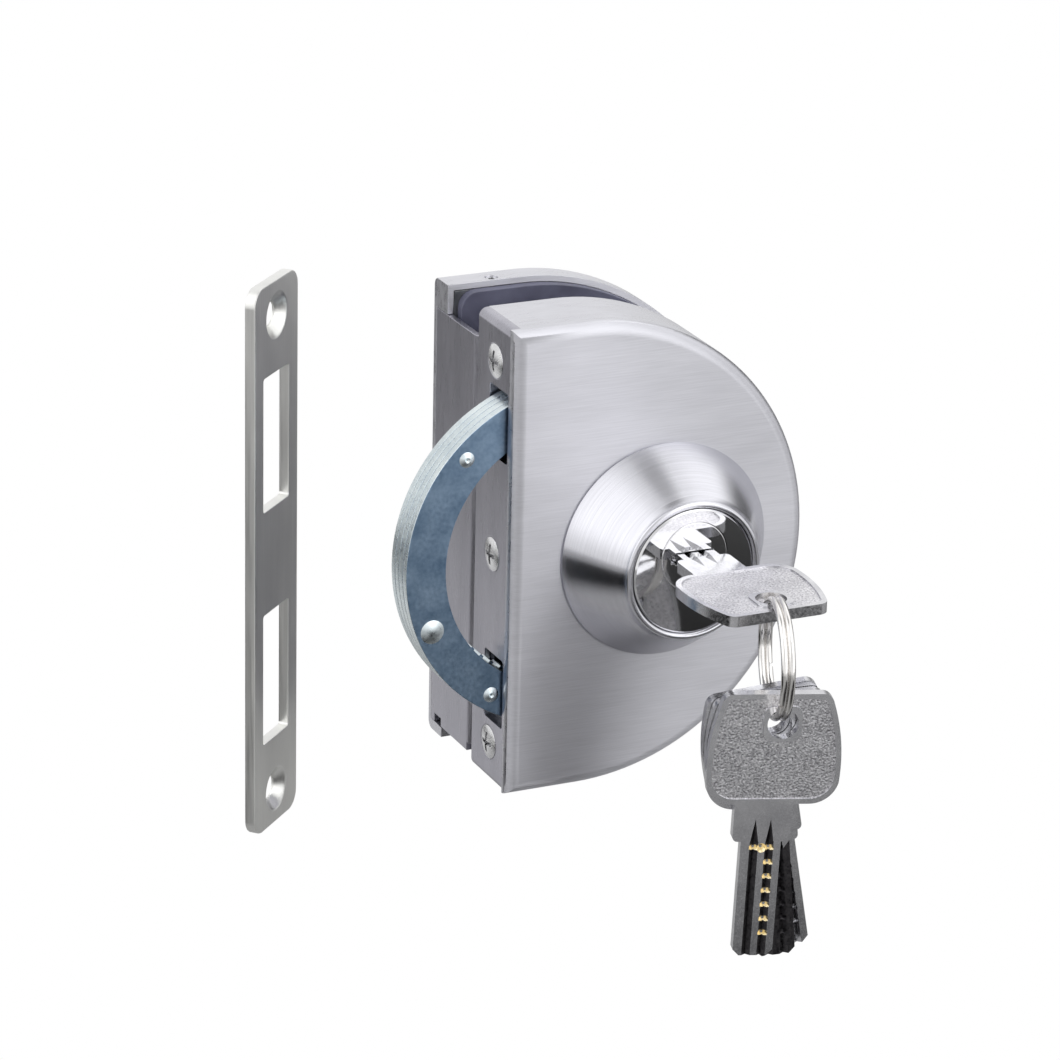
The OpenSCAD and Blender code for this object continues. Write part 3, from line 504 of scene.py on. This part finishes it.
def softened(mesh, edge_mm, crease_deg, rounds):
    """Merges a CAD copy's triangles, joins its flat faces and rounds its sharp edges.
    rounds(edge) says whether a sharp edge is rounded."""
    crease = math.radians(crease_deg)
    bm = bmesh.new()
    bm.from_mesh(mesh)
    bmesh.ops.remove_doubles(bm, verts=bm.verts, dist=MERGE_WITHIN)
    if edge_mm:
        bmesh.ops.dissolve_limit(
            bm,
            angle_limit=FLAT_WITHIN,
            verts=bm.verts,
            edges=bm.edges,
            delimit={"MATERIAL"},
        )
        sharp = [
            e
            for e in bm.edges
            if e.is_manifold and e.calc_face_angle() > crease and rounds(e)
        ]
        bmesh.ops.bevel(
            bm,
            geom=sharp,
            offset=edge_mm * MM,
            offset_type="OFFSET",
            affect="EDGES",
            segments=2,
            profile=0.5,
            material=-1,
            clamp_overlap=False,
        )
    for face in bm.faces:
        face.smooth = True
    bm.normal_update()
    bm.verts.index_update()
    bm.faces.index_update()
    brushing = bm.loops.layers.uv.new("brushing")
    for face in bm.faces:
        for loop in face.loops:
            loop[brushing].uv = (loop.vert.co.x / MM, loop.vert.co.z / MM)
    normals = weighted_normals(bm, crease)
    bm.to_mesh(mesh)
    bm.free()
    mesh.normals_split_custom_set(normals)


def any_edge(edge):
    """Every sharp edge."""
    return True


def dress(node, materials, edge_mm=0.0, choose=None, crease_deg=35, rounds=any_edge):
    """A softened copy of a CAD node in its materials, which stands for the node.
    choose(centre, normal) gives the number of a face's material."""
    mesh = NODES[node].data.copy()
    mesh.name = node + "_skin"
    mesh.materials.clear()
    for material in materials:
        mesh.materials.append(material)
    for face in mesh.polygons:
        face.material_index = choose(face.center, face.normal) if choose else 0
    softened(mesh, edge_mm, crease_deg, rounds)
    piece = place_piece(node + "_skin", mesh, node)
    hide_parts(node)


def repaint(node, material):
    """A CAD node that stays as it is, in a better material."""
    for slot in NODES[node].material_slots:
        slot.material = material


def build_rosette(material):
    """The turned cone, spun from its profile, with a map that runs round it."""
    low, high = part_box("rosette")
    centre = Vector(((low.x + high.x) / 2, 0, (low.z + high.z) / 2))
    base_r = (high.x - low.x) / 2
    lip_r = 16.4 * MM
    mouth_r = 14.7 * MM
    lip_round = (lip_r - mouth_r) / 2
    lip_steps = 12
    turn_steps = 128
    # Radius and Y: the rounded foot, then up the hollow flank to the lip
    profile = [
        (base_r - 0.5 * MM, FRONT_Y),
        (base_r, FRONT_Y - 0.6 * MM),
        (base_r - 1.2 * MM, FRONT_Y - 2.6 * MM),
        (base_r - 3 * MM, FRONT_Y - 5.4 * MM),
        (lip_r + 2.9 * MM, HEAD_Y + 5.2 * MM),
        (lip_r + 0.9 * MM, HEAD_Y + 2.2 * MM),
    ]
    for i in range(lip_steps + 1):
        angle = math.pi * i / lip_steps
        reach = (lip_r + mouth_r) / 2 + lip_round * math.cos(angle)
        profile.append((reach, low.y + lip_round * (1 - math.sin(angle))))
    profile.append((mouth_r, FRONT_Y))
    bm = bmesh.new()
    verts = [bm.verts.new((centre.x + r, y, centre.z)) for r, y in profile]
    edges = [bm.edges.new(pair) for pair in zip(verts, verts[1:])]
    bmesh.ops.spin(
        bm,
        geom=verts + edges,
        cent=centre,
        axis=(0, 1, 0),
        angle=2 * math.pi,
        steps=turn_steps,
        use_merge=True,
        use_duplicate=False,
    )
    bmesh.ops.remove_doubles(bm, verts=bm.verts, dist=0.001 * MM)
    bmesh.ops.recalc_face_normals(bm, faces=bm.faces)
    turning = bm.loops.layers.uv.new("turning")
    for face in bm.faces:
        face.smooth = True
        spans = []
        for loop in face.loops:
            arm = loop.vert.co - centre
            spans.append(math.atan2(arm.z, arm.x) / (2 * math.pi))
        # A face on the map's seam has corners at both ends of the map
        wraps = max(spans) - min(spans) > 0.5
        for loop, span in zip(face.loops, spans):
            turn = span + 1 if wraps and span < 0 else span
            loop[turning].uv = (turn, (loop.vert.co.y - HEAD_Y) / MM)
    mesh = finished_mesh(bm, "rosette_skin")
    mesh.set_sharp_from_angle(angle=math.radians(40))
    mesh.materials.append(material)
    piece = place_piece("rosette_skin", mesh, "rosette")
    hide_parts("rosette")


def build_cover_lip(material):
    """The cover's edge rolls on from its front to the faceplate and closes the joint
    between them. It lies a hair under the cover's own round, so that they don't fight."""
    low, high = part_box("front_cover")
    hair = 0.02 * MM
    overlap = 0.1 * MM
    lip_width = 2.4 * MM
    roll_steps = 8
    roll = STRIP_Y - FRONT_Y
    reach = roll - hair
    turn = math.asin((roll - COVER_WALL + overlap) / reach)
    outline = []
    for i in range(roll_steps + 1):
        angle = turn * i / roll_steps
        x = low.x + roll - reach * math.cos(angle)
        outline.append((x, STRIP_Y - reach * math.sin(angle)))
    # Back along the inside, against the cover's wall
    inner_x = low.x + lip_width
    outline += [(inner_x, outline[-1][1]), (inner_x, STRIP_Y)]
    foot = low.z + COVER_WALL
    bm = bmesh.new()
    verts = [bm.verts.new((x, y, foot)) for x, y in outline]
    face = bmesh.ops.contextual_create(bm, geom=verts)["faces"]
    grown = bmesh.ops.extrude_face_region(bm, geom=face)["geom"]
    raised = [v for v in grown if isinstance(v, bmesh.types.BMVert)]
    bmesh.ops.translate(bm, verts=raised, vec=(0, 0, high.z - COVER_WALL - foot))
    bmesh.ops.recalc_face_normals(bm, faces=bm.faces)
    for face in bm.faces:
        face.smooth = True
    mesh = finished_mesh(bm, "cover_lip")
    mesh.set_sharp_from_angle(angle=math.radians(30))
    mesh.materials.append(material)
    place_piece("cover_lip", mesh, "front_cover")


def bolt_faces(centre, normal):
    """Blue zinc on the flat sides, bright zinc on the sheared edges."""
    return 0 if abs(normal.y) > FLAT else 1


def bolt_rim(edge):
    """Edges of a bolt plate's outer rim, away from its gear teeth and its rivets."""
    arms = [Vector((v.co.x - BOLT_AXIS.x, 0, v.co.z - BOLT_AXIS.z)) for v in edge.verts]
    return min(a.length for a in arms) > BOLT_RIM_FROM


def strip_rim(edge):
    """Edges of the faceplate away from the thin bridge between its slots and the cover."""
    return min(v.co.y for v in edge.verts) > STRIP_Y + STRIP_BRIDGE


def cover_faces(centre, normal):
    """Level brushing on the flat face and its rounded edge, satin on the walls."""
    return 0 if abs(normal.y) > COVER_ROUND_ENDS else 1


def key_chooser(hole, along, through, blade, dimples):
    """Which finish a key's face has, from its place on the key. The blade and its dimples have the given ones. The
    tracks are plain where the dimples are, and elsewhere take the dark nickel of painted shade. hole is the hole's
    centre; along points to the tip, through to the front."""

    def choose(centre, normal):
        arm = centre - hole
        below = KEY_THICK / 2 - abs(arm.dot(through))
        facing = abs(normal.dot(through))
        if arm.dot(along) < BOW_END:
            in_field = facing > FLAT and FIELD_SUNK[0] < below < FIELD_SUNK[1]
            return KEY_FIELD if in_field else KEY_RIM
        if DIMPLE_SLOPE[0] < facing < DIMPLE_SLOPE[1] and below > DIMPLE_SUNK:
            return dimples
        if TRACK_SLOPE[0] < facing < TRACK_SLOPE[1]:
            # Tracks beside cut dimples are painted dark, as painted shade
            return KEY_RIM if dimples == KEY_RIM else KEY_PAINTED_SHADE
        return blade if arm.dot(along) > SHANK_END else KEY_RIM

    return choose


def hung_key_axes(joint_name, tilt_deg):
    """Hole centre, direction to the tip and thickness of a hanging key."""
    joint = JOINTS[joint_name]
    through = Vector(joint["axis"]).normalized()
    down = Matrix.Rotation(math.radians(tilt_deg), 3, through) @ Vector((0, 0, -1))
    return Vector(joint["pos_m"]), down, through


def build_keys(finishes):
    """The inserted key with a plain blade, and the three that hang on the ring. Each row
    has the key's tilt in degrees and the finishes of its blade and its dimples."""
    low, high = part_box("key_main")
    hole = Vector(((low.x + high.x) / 2, low.y + KEY_HOLE_IN, (low.z + high.z) / 2))
    axes = hole, Vector((0, 1, 0)), Vector((0, 0, 1))
    dress("key_main", finishes, choose=key_chooser(*axes, KEY_RIM, KEY_RIM))
    for name, tilt, blade, dimples in (
        ("front", 2, KEY_RIM, KEY_DIMPLE),
        # The middle key's blade and dimples are painted dark, as painted shade
        ("middle", -5, KEY_PAINTED_SHADE, KEY_PAINTED_SHADE),
        ("rear", -9.5, KEY_RIM, KEY_RIM),
    ):
        axes = hung_key_axes(name + "_key_swing", tilt)
        dress("key_" + name, finishes, choose=key_chooser(*axes, blade, dimples))


def build_object():
    """Every piece of the lock in its finish."""
    brushed = brushed_steel()
    strip = satin_face_steel()
    inner = plated_frame_steel()
    chrome = polished_chrome()
    screw = bright_screw_steel()
    edge = bright_zinc()
    slate = blue_zinc()
    brass = pin_brass()
    rubber = gasket_rubber()
    gear = machined_gear_steel()
    satin = satin_steel()
    dress("front_cover", [brushed, satin], choose=cover_faces)
    build_cover_lip(satin)
    dress("back_cover", [brushed, satin], edge_mm=0.15, choose=cover_faces)
    dress("faceplate", [strip], edge_mm=0.25, rounds=strip_rim)
    dress("edge_channel", [strip], edge_mm=0.2)
    dress("strike_plate", [strike_steel()], edge_mm=0.35)
    dress("cylinder_body", [chrome])
    dress("plug", [chrome], edge_mm=0.12)
    build_rosette(turned_steel())
    for place in ("front", "second", "third", "rear"):
        node = f"bolt_{place}_plate"
        dress(node, [slate, edge], edge_mm=0.22, choose=bolt_faces, rounds=bolt_rim)
    dress("bolt_rivets", [edge])
    for node in ("faceplate_screws", "channel_screws", "clamp_screws"):
        dress(node, [screw], edge_mm=0.08)
    for node in ("front_gasket", "back_gasket"):
        dress(node, [rubber], edge_mm=0.25)
    dress("split_ring", [ring_wire_steel()], crease_deg=50)
    dress("clamp_plate", [inner], edge_mm=0.2)
    for node in ("lock_frame", "track_plate", "back_plate"):
        repaint(node, inner)
    for node in (
        "case_screws",
        "cylinder_screws",
        "grub_screws",
        "idler_post",
        "pin_springs",
        "plug_clip",
        "spring_cap",
    ):
        repaint(node, screw)
    for node in ("drive_gear", "idler_gear"):
        repaint(node, gear)
    for node in ("driver_pins", "key_pins"):
        repaint(node, brass)
    # The last key finish is dark nickel of painted shade
    build_keys([key_rim_nickel(), key_field_nickel(), brass, painted_shade_nickel()])


# Studio


def fading(tree, centre, full, faded, middle, rim):
    """A value that runs from the middle of a round card to its rim."""
    where = add(tree, "ShaderNodeTexCoord").outputs["Object"]
    away = add(
        tree, "ShaderNodeVectorMath", {0: where, 1: tuple(centre)}, operation="DISTANCE"
    )
    fade = add(
        tree,
        "ShaderNodeMapRange",
        {
            "Value": away.outputs["Value"],
            "From Min": full,
            "From Max": faded,
            "To Min": middle,
            "To Max": rim,
        },
        interpolation_type="SMOOTHSTEP",
    )
    return fade.outputs["Result"]


def scrim_cloth(centre, full, faded, share):
    """Black net that holds a share of the light back, thinner towards its rim."""
    material, tree = new_material("black_net")
    passed = fading(tree, centre, full, faded, 1 - share, 1.0)
    output(tree, add(tree, "ShaderNodeBsdfTransparent", {"Color": passed}))
    return material


def box_cloth(centre, full, faded, brightness):
    """Glowing white silk, dimmer towards its rim, that lets the white behind it through."""
    material, tree = new_material("glowing_silk")
    strength = fading(tree, centre, full, faded, brightness, 0.0)
    glow = add(tree, "ShaderNodeEmission", {"Strength": strength}).outputs[0]
    through = add(tree, "ShaderNodeBsdfTransparent").outputs[0]
    output(tree, add(tree, "ShaderNodeAddShader", {0: glow, 1: through}))
    return material


def studio_card(cloth, centre, facing, full, faded, amount):
    """Round card square to a direction. The camera looks past it, as past a lamp."""
    bm = bmesh.new()
    bmesh.ops.create_circle(bm, cap_ends=True, segments=CARD_SIDES, radius=faded)
    turn = facing.to_track_quat("Z", "Y").to_matrix().to_4x4()
    bmesh.ops.transform(bm, matrix=Matrix.Translation(centre) @ turn, verts=bm.verts)
    mesh = finished_mesh(bm, "studio_card")
    mesh.materials.append(cloth(centre, full, faded, amount))
    card = add_object("studio_card", mesh)
    card.visible_camera = False


def air_card(cloth, away, towards, spread, border, amount):
    """Card that hangs in the air at a distance, seen from the object at these angles."""
    facing = Vector(towards).normalized()
    full = away * math.tan(math.radians(spread - border))
    faded = away * math.tan(math.radians(spread + border))
    studio_card(cloth, facing * away, facing, full, faded, amount)


def floor_card(cloth, layer, x, y, full, faded, amount):
    """Card that lies on the floor, a millimetre above the one below it."""
    centre = Vector((x, y, FLOOR_Z + (layer + 1) * MM))
    studio_card(cloth, centre, Vector((0, 0, 1)), full, faded, amount)


def studio_world():
    """White in every direction."""
    world = bpy.data.worlds.new("studio")
    bpy.context.scene.world = world
    world.use_nodes = True
    tree = world.node_tree
    tree.nodes.clear()
    light = add(tree, "ShaderNodeBackground", {"Color": (1, 1, 1, 1), "Strength": 1.0})
    add(tree, "ShaderNodeOutputWorld", {"Surface": light.outputs[0]})


def studio_floor():
    """Pale paper floor, which the camera, metal and glass see as white."""
    bm = bmesh.new()
    bmesh.ops.create_grid(bm, x_segments=1, y_segments=1, size=FLOOR_HALF)
    bmesh.ops.translate(bm, verts=bm.verts, vec=(0, 0, FLOOR_Z))
    mesh = finished_mesh(bm, "studio_floor")
    material, tree = new_material("pale_paper_floor")
    ray = add(tree, "ShaderNodeLightPath").outputs
    seen = ray["Is Camera Ray"]
    for other in (ray["Is Glossy Ray"], ray["Is Transmission Ray"]):
        either = add(tree, "ShaderNodeMath", {0: seen, 1: other}, operation="MAXIMUM")
        seen = either.outputs[0]
    paper = add(tree, "ShaderNodeBsdfDiffuse", {"Color": colour("#E8E8E8")}).outputs[0]
    white = add(tree, "ShaderNodeEmission", {"Strength": 1.0}).outputs[0]
    output(tree, add(tree, "ShaderNodeMixShader", {0: seen, 1: paper, 2: white}))
    mesh.materials.append(material)
    add_object("studio_floor", mesh)


def light_studio():
    """The tent, its floor and its cards."""
    studio_world()
    studio_floor()
    for card in AIR_SCRIMS:
        air_card(scrim_cloth, SCRIM_AWAY, *card)
    for card in AIR_BOXES:
        air_card(box_cloth, BOX_AWAY, *card)
    for layer, card in enumerate(FLOOR_SCRIMS):
        floor_card(scrim_cloth, layer, *card)
    for layer, card in enumerate(FLOOR_BOXES, len(FLOOR_SCRIMS)):
        floor_card(box_cloth, layer, *card)
    bpy.context.scene.view_settings.view_transform = "Standard"


place_camera()
build_object()
light_studio()
